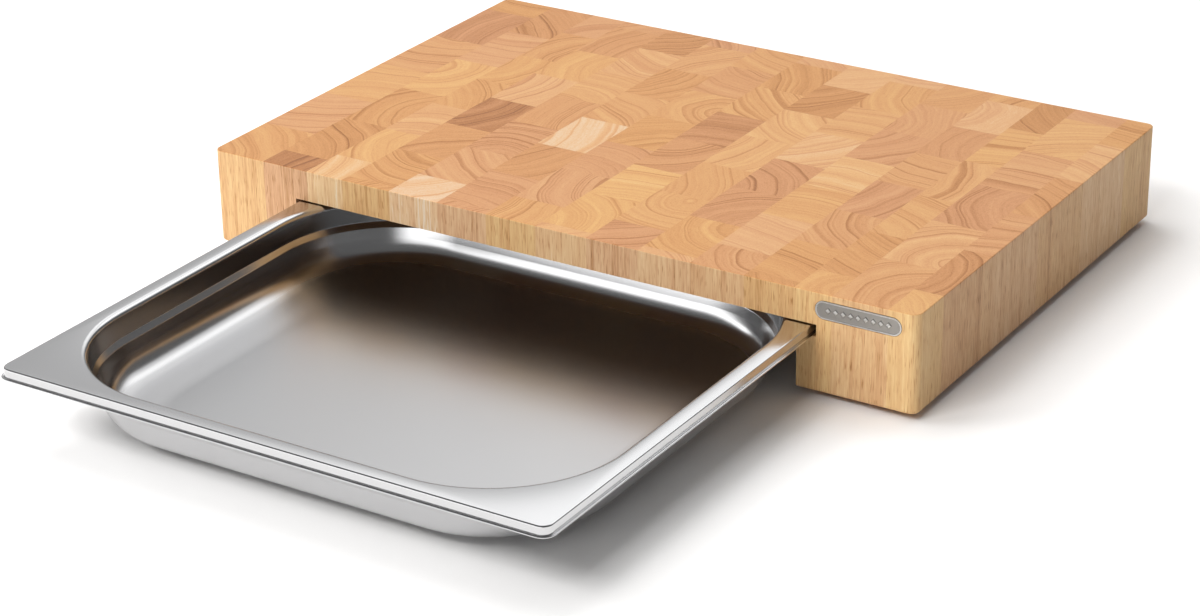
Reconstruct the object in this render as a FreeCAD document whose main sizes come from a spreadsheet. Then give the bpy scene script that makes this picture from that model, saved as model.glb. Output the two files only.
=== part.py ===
"""End-grain cutting board with a pressed-steel catch tray that slides in a channel under it.

Units are millimetres.  +Z is up, +X is to the right and -Y is the side the tray pulls out of.
The origin is the middle of the board's footprint, on the surface that the feet stand on.
"""
import FreeCAD, Part
import os
import Sketcher

V = FreeCAD.Vector

# ---------------------------------------------------------------------------------------------
# Driving sizes: alias, value and what it sets
# ---------------------------------------------------------------------------------------------
SIZES = [
    ("board_depth", 325.0, "front to back; the tray is as long, so it closes flush"),
    ("board_height", 60.0, "wood only, cutting face to underside"),
    ("slab_thickness", 19.5, "wood left above the tray's channel"),
    ("corner_radius", 5.5, "upright corners of the board"),
    ("top_round", 0.6, "eased edge of the cutting face"),
    ("bottom_round", 1.5, "eased edge of the underside"),
    ("cheek_width", 61.8, "board's side to the side of the groove that the tray's lip runs in"),
    ("first_strip", 38.3, "width of the strip at the left edge"),
    ("second_strip", 32.7, "width of the strip beside it"),
    ("third_strip", 26.3, "width of the narrow strip over the left runner"),
    ("twelfth_strip", 31.6, "width of the strip inside the right runner"),
    ("thirteenth_strip", 23.4, "width of the narrow strip over the right runner"),
    ("fourteenth_strip", 34.4, "width of the strip beside the one at the right edge"),
    ("last_strip", 18.1, "width of the strip at the right edge"),
    ("block_length", 50.7, "length of a block in the middle strips"),
    ("long_block_length", 61.8, "length of a block in the edge strips"),
    ("even_lead", 31.0, "front block of every other middle strip"),
    ("odd_lead", 7.0, "front block of the strips between them"),
    ("first_lead", 51.7, "front block of the strip at the left edge"),
    ("second_lead", 21.3, "front block of the second strip"),
    ("thirteenth_lead", 27.5, "front block of the thirteenth strip"),
    ("fourteenth_lead", 59.7, "front block of the fourteenth strip"),
    ("last_lead", 30.5, "front block of the strip at the right edge"),
    ("tray_width", 354.0, "outside of the tray's lip, left to right"),
    ("tray_height", 40.0, "top of the flange to the outside of the tray's bottom"),
    ("sheet", 0.8, "thickness of the pressed steel"),
    ("rim_height", 6.2, "top of the flange to the underside of the lip"),
    ("lip_width", 3.0, "ledge that stands out round the rim"),
    ("lip_thickness", 1.2, "folded edge of the ledge"),
    ("lip_corner", 8.0, "outer corner radius of the lip"),
    ("rim_corner", 5.0, "corner radius of the step between flange and lip"),
    ("rim_round", 1.0, "rounding where the flange turns down"),
    ("flange_width", 9.5, "lip's edge to the start of the bowl's bend"),
    ("mouth_corner", 80.0, "corner radius of the bowl's mouth"),
    ("mouth_round", 2.8, "inner radius of the bend from flange into the wall"),
    ("bend_reach", 3.3, "how far the bend reaches inwards"),
    ("upper_taper", 0.7, "how far the upper wall leans inwards"),
    ("shoulder_depth", 14.5, "flange top to the start of the stacking shoulder"),
    ("shoulder_step", 3.0, "how far the shoulder steps in, at 45 degrees"),
    ("shoulder_round", 1.6, "easing of the shoulder's two bends"),
    ("lower_taper", 1.6, "how far the lower wall leans inwards"),
    ("floor_round", 18.0, "inner radius between the lower wall and the floor"),
    ("rim_side_gap", 1.2, "play between the lip's edge and the groove's side"),
    ("rim_top_gap", 0.7, "play between the flange and the channel's roof"),
    ("rim_ride_gap", 0.3, "play between the lip and the runner it rides on"),
    ("runner_width", 12.2, "ledge of wood that carries the tray's lip"),
    ("pull_out", 269.0, "how far the tray is drawn out"),
    ("foot_diameter", 22.0, "rubber foot where it meets the wood"),
    ("foot_height", 4.5, "rubber foot, wood to worktop"),
    ("foot_draft", 1.0, "how much the foot narrows towards the worktop"),
    ("foot_inset", 32.0, "board's edge to the middle of a foot"),
    ("screw_head_diameter", 7.0, "pan head in the foot's pocket"),
    ("screw_head_height", 1.8, "pan head"),
    ("screw_head_gap", 0.4, "play round the head in the foot's pocket"),
    ("screw_diameter", 3.5, "wood screw through the foot"),
    ("screw_grip", 14.0, "length of screw in the wood"),
    ("screw_point", 4.0, "tapered tip of the screw"),
    ("foot_web", 1.6, "rubber between the screw head and the wood"),
    ("badge_length", 52.7, "oval plate, end to end"),
    ("badge_width", 10.8, "oval plate, top to bottom"),
    ("badge_thickness", 1.4, "oval plate without its border"),
    ("badge_border", 0.9, "width of the plate's raised border"),
    ("badge_relief", 0.45, "height of the border and the ornament"),
    ("badge_gap", 0.3, "groove left round the plate"),
    ("badge_sink", 1.5, "depth of the recess in the wood"),
    ("badge_inset", 36.3, "board's right edge to the middle of the plate"),
    ("badge_drop", 9.7, "cutting face to the middle of the plate"),
    ("stud_pitch", 4.6, "from one ornamental stud to the next"),
    ("stud_side", 3.0, "side of a stud, which stands on its corner"),
    ("stud_top", 1.2, "side of a stud's flat top"),
    ("spike_diameter", 2.0, "two spikes behind the plate, driven into the wood"),
    ("spike_length", 6.0, "spikes, from the back of the plate"),
    ("spike_spacing", 26.0, "between the two spikes"),
]

# ---------------------------------------------------------------------------------------------
# Sizes worked out from the driving ones, as expressions on the sheet
# ---------------------------------------------------------------------------------------------
GROOVE_HALF = "(sizes.tray_width / 2 + sizes.rim_side_gap)"
CHANNEL_HALF = f"({GROOVE_HALF} - sizes.runner_width)"
HALF_WIDTH = f"({GROOVE_HALF} + sizes.cheek_width)"
HALF_DEPTH = "(sizes.board_depth / 2)"
BOARD_TOP = "(sizes.foot_height + sizes.board_height)"
ROOF = f"({BOARD_TOP} - sizes.slab_thickness)"
FLANGE_TOP = f"({ROOF} - sizes.rim_top_gap)"
LIP_UNDER = f"({FLANGE_TOP} - sizes.rim_height)"
RUNNER_TOP = f"({LIP_UNDER} - sizes.rim_ride_gap)"
TRAY_BOTTOM = f"({FLANGE_TOP} - sizes.tray_height)"
FOOT_X = f"({HALF_WIDTH} - sizes.foot_inset)"
FOOT_Y = f"({HALF_DEPTH} - sizes.foot_inset)"
BADGE_X = f"({HALF_WIDTH} - sizes.badge_inset)"
BADGE_Z = f"({BOARD_TOP} - sizes.badge_drop)"
MITRE = 0.4142  # tangent of 22.5 degrees: how a 45 degree bend shifts the far side of a sheet
CUT_PAST = 20.0  # how far cutting shapes reach past the wood
FLOOR_LAP = 2.0  # flat floor that is swept along with the bowl's wall
STUD_COUNT = 9  # ornamental studs in a row on the badge
SHORTEST_BLOCK = 6.0  # a rear end shorter than this stays part of the block in front of it

# Strips from left to right: width, front block and length of the other blocks.  The strips in
# the middle share the width that the ones near the sides leave them.
LEFT_STRIPS = [
    ("sizes.first_strip", "sizes.first_lead", "sizes.long_block_length"),
    ("sizes.second_strip", "sizes.second_lead", "sizes.long_block_length"),
    ("sizes.third_strip", "sizes.even_lead", "sizes.block_length"),
]
RIGHT_STRIPS = [
    ("sizes.twelfth_strip", "sizes.odd_lead", "sizes.block_length"),
    ("sizes.thirteenth_strip", "sizes.thirteenth_lead", "sizes.long_block_length"),
    ("sizes.fourteenth_strip", "sizes.fourteenth_lead", "sizes.long_block_length"),
    ("sizes.last_strip", "sizes.last_lead", "sizes.long_block_length"),
]
MIDDLE_COUNT = 8
OTHER_WIDTHS = " - ".join(width for width, _, _ in LEFT_STRIPS + RIGHT_STRIPS)
MIDDLE_WIDTH = f"((2 * {HALF_WIDTH} - {OTHER_WIDTHS}) / {MIDDLE_COUNT})"
STRIPS = list(LEFT_STRIPS)
for strip in range(MIDDLE_COUNT):
    alternate_lead = "sizes.even_lead" if strip % 2 else "sizes.odd_lead"
    STRIPS.append((MIDDLE_WIDTH, alternate_lead, "sizes.block_length"))
STRIPS += RIGHT_STRIPS

# How far in from the lip's edge each bend of the tray's section lies
WALL_IN = "(sizes.flange_width + sizes.bend_reach)"
SHOULDER_IN = f"({WALL_IN} + sizes.upper_taper)"
STEP_IN = f"({SHOULDER_IN} + sizes.shoulder_step)"
FLOOR_IN = f"({STEP_IN} + sizes.lower_taper)"
LAP_IN = f"({FLOOR_IN} + sizes.floor_round + {FLOOR_LAP})"
SHOULDER_TOP = f"({FLANGE_TOP} - sizes.shoulder_depth)"
SHOULDER_FOOT = f"({SHOULDER_TOP} - sizes.shoulder_step)"
FLOOR_TOP = f"({TRAY_BOTTOM} + sizes.sheet)"


def make_sheet(doc):
    """Writes every driving size into one spreadsheet."""
    sheet = doc.addObject("Spreadsheet::Sheet", "sizes")
    for row, (alias, number, note) in enumerate(SIZES, start=1):
        sheet.set(f"A{row}", alias)
        sheet.set(f"B{row}", str(number))
        sheet.set(f"C{row}", note)
        sheet.setAlias(f"B{row}", alias)
    doc.recompute()
    return sheet


def number(doc, expression):
    """The present value of an expression, in millimetres."""
    return float(doc.getObject("sizes").evalExpression(str(expression)))


def new_body(doc, name):
    body = doc.addObject("PartDesign::Body", name)
    body.Label = name
    return body


def sketch_on(body, name, role, offset="0"):
    """A sketch on one of the body's own base planes, shifted along the plane's normal."""
    sketch = body.newObject("Sketcher::SketchObject", name)
    plane = next(f for f in body.Origin.OriginFeatures if f.Role == role)
    sketch.AttachmentSupport = [(plane, "")]
    sketch.MapMode = "FlatFace"
    sketch.setExpression("AttachmentOffset.Base.z", offset)
    return sketch


def pin_point(sketch, geometry, end, x, y):
    """Ties a point of the sketch to two expressions."""
    for kind, expression in (("DistanceX", x), ("DistanceY", y)):
        start = number(sketch.Document, expression)
        index = sketch.addConstraint(Sketcher.Constraint(kind, -1, 1, geometry, end, start))
        sketch.setExpression(f"Constraints[{index}]", expression)


def draw_polygon(sketch, corners):
    """A closed outline of straight lines through corners given as pairs of expressions."""
    doc = sketch.Document
    points = [V(number(doc, x), number(doc, y), 0) for x, y in corners]
    first = sketch.GeometryCount
    count = len(points)
    for i in range(count):
        sketch.addGeometry(Part.LineSegment(points[i], points[(i + 1) % count]))
    for i in range(count):
        following = first + (i + 1) % count
        sketch.addConstraint(Sketcher.Constraint("Coincident", first + i, 2, following, 1))
    for i, (x, y) in enumerate(corners):
        pin_point(sketch, first + i, 1, x, y)


def draw_rounded_rectangle(sketch, half_x, half_y, radius):
    """A rounded rectangle about the origin.  It starts in the middle of its right side."""
    doc = sketch.Document
    hx, hy, r = (number(doc, e) for e in (half_x, half_y, radius))
    in_x, in_y = f"({half_x} - {radius})", f"({half_y} - {radius})"
    stops = [
        (half_x, "0", V(hx, 0, 0)),
        (half_x, in_y, V(hx, hy - r, 0)),
        (in_x, half_y, V(hx - r, hy, 0)),
        (f"-{in_x}", half_y, V(r - hx, hy, 0)),
        (f"-{half_x}", in_y, V(-hx, hy - r, 0)),
        (f"-{half_x}", f"-{in_y}", V(-hx, r - hy, 0)),
        (f"-{in_x}", f"-{half_y}", V(r - hx, -hy, 0)),
        (in_x, f"-{half_y}", V(hx - r, -hy, 0)),
        (half_x, f"-{in_y}", V(hx, r - hy, 0)),
    ]
    first = sketch.GeometryCount
    count = len(stops)
    for i in range(count):
        start, end = stops[i][2], stops[(i + 1) % count][2]
        if i % 2 == 0:
            sketch.addGeometry(Part.LineSegment(start, end))
        else:
            centre = V((hx - r) * (1 if max(start.x, end.x) > 0 else -1),
                       (hy - r) * (1 if max(start.y, end.y) > 0 else -1), 0)
            middle = (start + end) * 0.5 - centre
            through = centre + middle * (r / middle.Length)
            sketch.addGeometry(Part.Arc(start, through, end))
    for i in range(count):
        following = first + (i + 1) % count
        sketch.addConstraint(Sketcher.Constraint("Coincident", first + i, 2, following, 1))
    for i in range(0, count, 2):
        pin_point(sketch, first + i, 1, stops[i][0], stops[i][1])
        if i + 1 < count:
            pin_point(sketch, first + i, 2, stops[i + 1][0], stops[i + 1][1])
            index = sketch.addConstraint(Sketcher.Constraint("Radius", first + i + 1, r))
            sketch.setExpression(f"Constraints[{index}]", radius)


def pad(body, name, sketch, length):
    feature = body.newObject("PartDesign::Pad", name)
    feature.Profile = sketch
    feature.setExpression("Length", length)
    body.Document.recompute()
    return feature


def round_edges(body, name, base, radius, chosen):
    """Fillets the edges of a feature that a test picks out."""
    feature = body.newObject("PartDesign::Fillet", name)
    names = [f"Edge{i}" for i, edge in enumerate(base.Shape.Edges, start=1) if chosen(edge)]
    feature.Base = (base, names)
    feature.setExpression("Radius", radius)
    body.Document.recompute()
    return feature


def lies_at(height):
    """A test for edges that run level at one height."""
    def test(edge):
        box = edge.BoundBox
        return abs(box.ZMin - height) < 1e-4 and abs(box.ZMax - height) < 1e-4
    return test


def runs_back_at(x, z):
    """A test for straight edges that run front to back through one point of the section."""
    def test(edge):
        box = edge.BoundBox
        level = abs(box.ZMin - z) < 1e-4 and abs(box.ZMax - z) < 1e-4
        upright = abs(box.XMin - x) < 1e-4 and abs(box.XMax - x) < 1e-4
        return level and upright
    return test


# ---------------------------------------------------------------------------------------------
# Part primitives tied to the sheet
# ---------------------------------------------------------------------------------------------
def tie(item, **expressions):
    """Binds properties; x, y and z stand for the place."""
    for name, expression in expressions.items():
        target = f"Placement.Base.{name}" if name in ("x", "y", "z") else name
        item.setExpression(target, expression)
    return item


def box(doc, name, **expressions):
    return tie(doc.addObject("Part::Box", name), **expressions)


def cylinder(doc, name, facing, **expressions):
    """A cylinder that grows from its place towards the direction given."""
    item = doc.addObject("Part::Cylinder", name)
    item.Placement.Rotation = FreeCAD.Rotation(V(0, 0, 1), facing)
    return tie(item, **expressions)


def cut(doc, name, base, tool):
    item = doc.addObject("Part::Cut", name)
    item.Base = base
    item.Tool = tool
    return item


def fuse(doc, name, shapes):
    item = doc.addObject("Part::MultiFuse", name)
    item.Shapes = shapes
    return item


def compound(doc, name, shapes):
    item = doc.addObject("Part::Compound", name)
    item.Links = shapes
    item.Label = name
    return item


def oval(doc, name, length, width, thickness, front):
    """A stadium-shaped plate round the badge's middle, from its front face backwards."""
    middle = box(doc, name + "_middle", Length=f"{length} - {width}", Width=thickness, Height=width,
                 x=f"{BADGE_X} - ({length} - {width}) / 2", y=front, z=f"{BADGE_Z} - {width} / 2")
    ends = []
    for side, sign in (("left", "-"), ("right", "+")):
        centre = f"{BADGE_X} {sign} ({length} - {width}) / 2"
        ends.append(cylinder(doc, f"{name}_{side}", V(0, 1, 0), Radius=f"{width} / 2",
                             Height=thickness, x=centre, y=front, z=BADGE_Z))
    return fuse(doc, name, [middle] + ends)


# ---------------------------------------------------------------------------------------------
# The board
# ---------------------------------------------------------------------------------------------
def make_blank(doc):
    """The glued-up board trimmed to size, rounded and with the tray's channel cut through it."""
    body = new_body(doc, "board_blank")
    outline = sketch_on(body, "blank_outline", "XY_Plane", "sizes.foot_height")
    draw_polygon(outline, [(f"-{HALF_WIDTH}", f"-{HALF_DEPTH}"), (HALF_WIDTH, f"-{HALF_DEPTH}"),
                           (HALF_WIDTH, HALF_DEPTH), (f"-{HALF_WIDTH}", HALF_DEPTH)])
    solid = pad(body, "blank_pad", outline, "sizes.board_height")
    solid = round_edges(body, "blank_corners", solid, "sizes.corner_radius",
                        lambda edge: edge.BoundBox.ZLength > 1.0)
    section = sketch_on(body, "channel_section", "XZ_Plane")
    below = f"(sizes.foot_height - {CUT_PAST})"
    draw_polygon(section, [(f"-{CHANNEL_HALF}", below), (CHANNEL_HALF, below),
                           (CHANNEL_HALF, RUNNER_TOP), (GROOVE_HALF, RUNNER_TOP),
                           (GROOVE_HALF, ROOF), (f"-{GROOVE_HALF}", ROOF),
                           (f"-{GROOVE_HALF}", RUNNER_TOP), (f"-{CHANNEL_HALF}", RUNNER_TOP)])
    channel = body.newObject("PartDesign::Pocket", "channel")
    channel.Profile = section
    channel.Midplane = True
    channel.setExpression("Length", f"sizes.board_depth + {2 * CUT_PAST}")
    doc.recompute()
    top = number(doc, BOARD_TOP)
    solid = round_edges(body, "cutting_face_edges", channel, "sizes.top_round", lies_at(top))
    underside = number(doc, "sizes.foot_height")
    round_edges(body, "underside_edges", solid, "sizes.bottom_round", lies_at(underside))
    return body


def foot_places():
    """Name and place of each foot."""
    return [("front_left", f"-{FOOT_X}", f"-{FOOT_Y}"), ("front_right", FOOT_X, f"-{FOOT_Y}"),
            ("rear_left", f"-{FOOT_X}", FOOT_Y), ("rear_right", FOOT_X, FOOT_Y)]


def make_machined_board(doc, blank):
    """The blank with the badge's recess and the holes for spikes and screws."""
    face = f"-{HALF_DEPTH}"
    tools = [oval(doc, "badge_recess", "(sizes.badge_length + 2 * sizes.badge_gap)",
                  "(sizes.badge_width + 2 * sizes.badge_gap)",
                  f"(sizes.badge_sink + {CUT_PAST})", f"({face} - {CUT_PAST})")]
    tools += make_spikes(doc, "spike_hole")
    for place, x, y in foot_places():
        tools.append(cylinder(doc, f"pilot_hole_{place}", V(0, 0, 1), Radius="sizes.screw_diameter / 2",
                              Height="sizes.screw_grip", x=x, y=y, z="sizes.foot_height"))
    return cut(doc, "machined_board", blank, fuse(doc, "drillings", tools))


def make_strip(doc, index, board):
    """One strip: a row of block-sized cells, each of them trimmed by the machined board."""
    name = f"wood_strip_{index + 1:02d}"
    width, lead, length = STRIPS[index]
    left = " + ".join([f"-{HALF_WIDTH}"] + [w for w, _, _ in STRIPS[:index]])
    behind_lead = number(doc, f"sizes.board_depth - {lead}") - SHORTEST_BLOCK
    whole_blocks = int(behind_lead // number(doc, length))
    ends = [f"(-{HALF_DEPTH} - {CUT_PAST})"]
    ends += [f"(-{HALF_DEPTH} + {lead} + {k} * {length})" for k in range(whole_blocks + 1)]
    ends.append(f"({HALF_DEPTH} + {CUT_PAST})")
    blocks = []
    for k, (front, rear) in enumerate(zip(ends, ends[1:]), start=1):
        cell = box(doc, f"{name}_cell_{k}", Length=width, Width=f"{rear} - {front}",
                   Height="sizes.board_height", x=left, y=front, z="sizes.foot_height")
        block = doc.addObject("Part::Common", f"{name}_block_{k}")
        block.Base = cell
        block.Tool = board
        blocks.append(block)
    return compound(doc, name, blocks)


# ---------------------------------------------------------------------------------------------
# The badge on the front
# ---------------------------------------------------------------------------------------------
def make_spikes(doc, name):
    """Two short round spikes behind the badge, or the holes that they fill."""
    spikes = []
    for side, sign in (("left", "-"), ("right", "+")):
        spikes.append(cylinder(doc, f"{name}_{side}", V(0, 1, 0), Radius="sizes.spike_diameter / 2",
                               Height="sizes.spike_length", z=BADGE_Z,
                               x=f"{BADGE_X} {sign} sizes.spike_spacing / 2",
                               y=f"-{HALF_DEPTH} + sizes.badge_sink"))
    return spikes


def make_badge(doc):
    """A cast oval plate with a raised border, a row of plain studs and two spikes."""
    plate_front = f"(-{HALF_DEPTH} + sizes.badge_sink - sizes.badge_thickness)"
    border_front = f"({plate_front} - sizes.badge_relief)"
    length, width = "sizes.badge_length", "sizes.badge_width"
    plate = oval(doc, "badge_plate", length, width, "sizes.badge_thickness", plate_front)
    rim = oval(doc, "badge_rim", length, width, "sizes.badge_relief", border_front)
    well = oval(doc, "badge_well", f"({length} - 2 * sizes.badge_border)",
                f"({width} - 2 * sizes.badge_border)", "sizes.badge_relief", border_front)
    studs = []
    for k in range(STUD_COUNT):
        stud = doc.addObject("Part::Wedge", f"badge_stud_{k + 1}")
        on_corner = FreeCAD.Rotation(V(0, 1, 0), 45)
        forwards = FreeCAD.Rotation(V(1, 0, 0), 180)
        stud.Placement.Rotation = on_corner.multiply(forwards)
        stud.Ymin = 0
        tie(stud, Ymax="sizes.badge_relief", y=plate_front, z=BADGE_Z,
            x=f"{BADGE_X} + {k - (STUD_COUNT - 1) / 2} * sizes.stud_pitch")
        for axis in ("X", "Z"):
            tie(stud, **{axis + "min": "-sizes.stud_side / 2", axis + "max": "sizes.stud_side / 2",
                         axis + "2min": "-sizes.stud_top / 2", axis + "2max": "sizes.stud_top / 2"})
        studs.append(stud)
    border = cut(doc, "badge_border_ring", rim, well)
    badge = fuse(doc, "badge", [plate, border] + studs + make_spikes(doc, "badge_spike"))
    badge.Label = "badge"
    return badge


# ---------------------------------------------------------------------------------------------
# Feet and their screws
# ---------------------------------------------------------------------------------------------
def turned(doc, name, corners, x, y):
    """A body turned about the upright axis through x, y from half of its section."""
    body = new_body(doc, name)
    sketch = sketch_on(body, name + "_section", "XZ_Plane")
    draw_polygon(sketch, corners)
    turn = body.newObject("PartDesign::Revolution", name + "_turn")
    turn.Profile = sketch
    turn.ReferenceAxis = (sketch, ["V_Axis"])
    turn.Angle = 360
    tie(body, x=x, y=y)
    doc.recompute()
    return body


def make_foot(doc, place, x, y):
    """A rubber foot with a pocket for the screw's head."""
    pocket = "(sizes.screw_head_diameter / 2 + sizes.screw_head_gap)"
    web = "(sizes.foot_height - sizes.foot_web)"
    corners = [(pocket, "0"), ("sizes.foot_diameter / 2 - sizes.foot_draft", "0"),
               ("sizes.foot_diameter / 2", "sizes.foot_height"),
               ("sizes.screw_diameter / 2", "sizes.foot_height"),
               ("sizes.screw_diameter / 2", web), (pocket, web)]
    return turned(doc, f"foot_{place}", corners, x, y)


def make_screw(doc, place, x, y):
    """A pan-head wood screw that holds one foot."""
    seat = "(sizes.foot_height - sizes.foot_web)"
    tip = "(sizes.foot_height + sizes.screw_grip)"
    corners = [("0", f"{seat} - sizes.screw_head_height"),
               ("sizes.screw_head_diameter / 2", f"{seat} - sizes.screw_head_height"),
               ("sizes.screw_head_diameter / 2", seat), ("sizes.screw_diameter / 2", seat),
               ("sizes.screw_diameter / 2", f"{tip} - sizes.screw_point"), ("0", tip)]
    return turned(doc, f"screw_{place}", corners, x, y)


# ---------------------------------------------------------------------------------------------
# The tray
# ---------------------------------------------------------------------------------------------
def tray_outline(sketch, inset, radius):
    """A rounded rectangle some way in from the lip's edge."""
    draw_rounded_rectangle(sketch, f"(sizes.tray_width / 2 - {inset})", f"({HALF_DEPTH} - {inset})",
                           radius)


def make_rim(body):
    """The ledge round the tray, the short wall above it and the flat flange."""
    turn_down = sketch_on(body, "turn_down_outline", "XY_Plane", LIP_UNDER)
    tray_outline(turn_down, "sizes.lip_width", "sizes.rim_corner")
    tray_outline(turn_down, "(sizes.lip_width + sizes.sheet)", "(sizes.rim_corner - sizes.sheet)")
    pad(body, "turn_down", turn_down, "sizes.rim_height")
    lip = sketch_on(body, "lip_outline", "XY_Plane", LIP_UNDER)
    tray_outline(lip, "0", "sizes.lip_corner")
    tray_outline(lip, "sizes.lip_width", "sizes.rim_corner")
    pad(body, "lip", lip, "sizes.lip_thickness")
    flange = sketch_on(body, "flange_outline", "XY_Plane", f"{FLANGE_TOP} - sizes.sheet")
    tray_outline(flange, "sizes.lip_width", "sizes.rim_corner")
    tray_outline(flange, "sizes.flange_width", "sizes.mouth_corner")
    return pad(body, "flange", flange, "sizes.sheet")


def bowl_bends():
    """Bends of the bowl's section: name, inset, height and radius, inside and outside."""
    mouth, shoulder, floor = "sizes.mouth_round", "sizes.shoulder_round", "sizes.floor_round"
    return [("mouth", WALL_IN, FLANGE_TOP, f"{mouth} + sizes.sheet", mouth),
            ("shoulder", SHOULDER_IN, SHOULDER_TOP, shoulder, f"{shoulder} + sizes.sheet"),
            ("step", STEP_IN, SHOULDER_FOOT, f"{shoulder} + sizes.sheet", shoulder),
            ("floor", FLOOR_IN, FLOOR_TOP, floor, f"{floor} + sizes.sheet")]


def drop_outside(name):
    """How far the outer corner of a bend lies below the inner one."""
    return "sizes.sheet" if name in ("mouth", "floor") else f"sizes.sheet * {MITRE}"


def make_bowl(body):
    """The bowl's wall, swept round its mouth, and the floor that closes it."""
    half = "sizes.tray_width / 2"
    bends = bowl_bends()
    inner = [(f"({half} - {inset})", z) for _, inset, z, _, _ in bends]
    outer = [(f"({half} - {inset} + sizes.sheet)", f"({z} - {drop_outside(name)})")
             for name, inset, z, _, _ in bends]
    mouth_x = f"({half} - sizes.flange_width)"
    lap_x = f"({half} - {LAP_IN})"
    corners = [(mouth_x, FLANGE_TOP)] + inner + [(lap_x, FLOOR_TOP), (lap_x, TRAY_BOTTOM)]
    corners += outer[::-1] + [(mouth_x, f"({FLANGE_TOP} - sizes.sheet)")]
    section = sketch_on(body, "bowl_section", "XZ_Plane")
    draw_polygon(section, corners)
    path = sketch_on(body, "bowl_path", "XY_Plane", FLANGE_TOP)
    tray_outline(path, "sizes.flange_width", "sizes.mouth_corner")
    body.Document.recompute()
    wall = body.newObject("PartDesign::AdditivePipe", "bowl_wall")
    wall.Profile = section
    wall.Spine = (path, [f"Edge{i + 1}" for i in range(path.GeometryCount)])
    body.Document.recompute()
    floor = sketch_on(body, "floor_outline", "XY_Plane", TRAY_BOTTOM)
    tray_outline(floor, LAP_IN, f"(sizes.mouth_corner - {LAP_IN} + sizes.flange_width)")
    return pad(body, "tray_floor", floor, "sizes.sheet")


def make_tray(doc):
    """The whole pressed tray, drawn out of the board."""
    body = new_body(doc, "tray")
    make_rim(body)
    solid = make_bowl(body)
    half = number(doc, "sizes.tray_width / 2")
    rim = runs_back_at(half - number(doc, "sizes.lip_width"), number(doc, FLANGE_TOP))
    solid = round_edges(body, "rim_edge", solid, "sizes.rim_round", rim)
    for name, inset, height, inner_radius, outer_radius in bowl_bends():
        x, z = half - number(doc, inset), number(doc, height)
        solid = round_edges(body, f"{name}_inside", solid, inner_radius, runs_back_at(x, z))
        x, z = x + number(doc, "sizes.sheet"), z - number(doc, drop_outside(name))
        solid = round_edges(body, f"{name}_outside", solid, outer_radius, runs_back_at(x, z))
    return tie(body, y="-sizes.pull_out")


# ---------------------------------------------------------------------------------------------
# Building, checking and writing
# ---------------------------------------------------------------------------------------------
def build(doc):
    """Every sub-part, in the order in which they are listed."""
    make_sheet(doc)
    board = make_machined_board(doc, make_blank(doc))
    doc.recompute()
    parts = [make_strip(doc, index, board) for index in range(len(STRIPS))]
    parts += [make_foot(doc, *place) for place in foot_places()]
    parts.append(compound(doc, "foot_screws", [make_screw(doc, *place) for place in foot_places()]))
    parts += [make_badge(doc), make_tray(doc)]
    doc.recompute()
    return parts


def check(doc, parts):
    for item in doc.Objects:
        if "Invalid" in item.State or "Error" in item.State:
            raise RuntimeError(f"{item.Label} failed: {item.State}")
    for part in parts:
        if part.Shape.isNull() or not part.Shape.isValid():
            raise RuntimeError(f"{part.Label} has no valid shape")


def main():
    doc = FreeCAD.newDocument("cutting_board")
    parts = build(doc)
    check(doc, parts)
    os.makedirs("parts", exist_ok=True)
    for part in parts:
        part.Shape.exportStep(f"parts/{part.Label}.step")
        extent = part.Shape.BoundBox
        print(f"{part.Label}: {len(part.Shape.Solids)} solids, {part.Shape.Volume:.1f} mm3, "
              f"x {extent.XMin:.2f}..{extent.XMax:.2f}, y {extent.YMin:.2f}..{extent.YMax:.2f}, "
              f"z {extent.ZMin:.2f}..{extent.ZMax:.2f}")


main()
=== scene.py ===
import math

import bpy
import numpy as np
from mathutils import Euler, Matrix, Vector


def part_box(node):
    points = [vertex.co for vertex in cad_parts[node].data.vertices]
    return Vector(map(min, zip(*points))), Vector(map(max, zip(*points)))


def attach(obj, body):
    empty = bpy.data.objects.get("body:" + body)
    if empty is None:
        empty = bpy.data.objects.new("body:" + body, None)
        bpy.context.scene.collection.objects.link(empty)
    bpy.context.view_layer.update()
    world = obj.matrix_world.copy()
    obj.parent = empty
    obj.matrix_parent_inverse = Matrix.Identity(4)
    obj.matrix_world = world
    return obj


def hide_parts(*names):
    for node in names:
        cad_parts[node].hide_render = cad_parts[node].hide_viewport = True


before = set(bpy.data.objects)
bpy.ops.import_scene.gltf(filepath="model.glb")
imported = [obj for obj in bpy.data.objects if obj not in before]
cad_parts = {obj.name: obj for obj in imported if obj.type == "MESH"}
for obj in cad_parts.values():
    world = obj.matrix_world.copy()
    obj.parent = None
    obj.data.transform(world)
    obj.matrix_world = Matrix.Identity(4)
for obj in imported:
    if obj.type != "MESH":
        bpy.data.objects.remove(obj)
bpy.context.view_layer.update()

scene = bpy.context.scene

# ------------------------------------------------------------------------------------------
# Camera: a 90 mm lens about 1.9 m from the board, to the right of its front and 25 degrees up,
# so that the cutting face, the front and the open tray are all seen.
# ------------------------------------------------------------------------------------------
lens = bpy.data.cameras.new("camera")
lens.lens = 91.48
lens.sensor_width = 36.0
lens.clip_end = 100.0
camera = bpy.data.objects.new("camera", lens)
camera.location = (0.8875, -1.5023, 0.7554)
camera.rotation_euler = Euler([math.radians(turn) for turn in (65.20, 0.784, 32.01)])
scene.collection.objects.link(camera)
scene.camera = camera
scene.view_settings.view_transform = "Standard"


# ------------------------------------------------------------------------------------------
# Floor: a wide sheet of matt white paper, as product tables are covered with.
# It is one flat quad; its material has the paper's faint tooth.
# ------------------------------------------------------------------------------------------
def linear(hex_colour):
    """An sRGB hex colour as linear RGB with full alpha."""
    srgb = [int(hex_colour[k:k + 2], 16) / 255 for k in (1, 3, 5)]
    return tuple(c / 12.92 if c <= 0.04045 else ((c + 0.055) / 1.055) ** 2.4 for c in srgb) + (1.0,)


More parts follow.
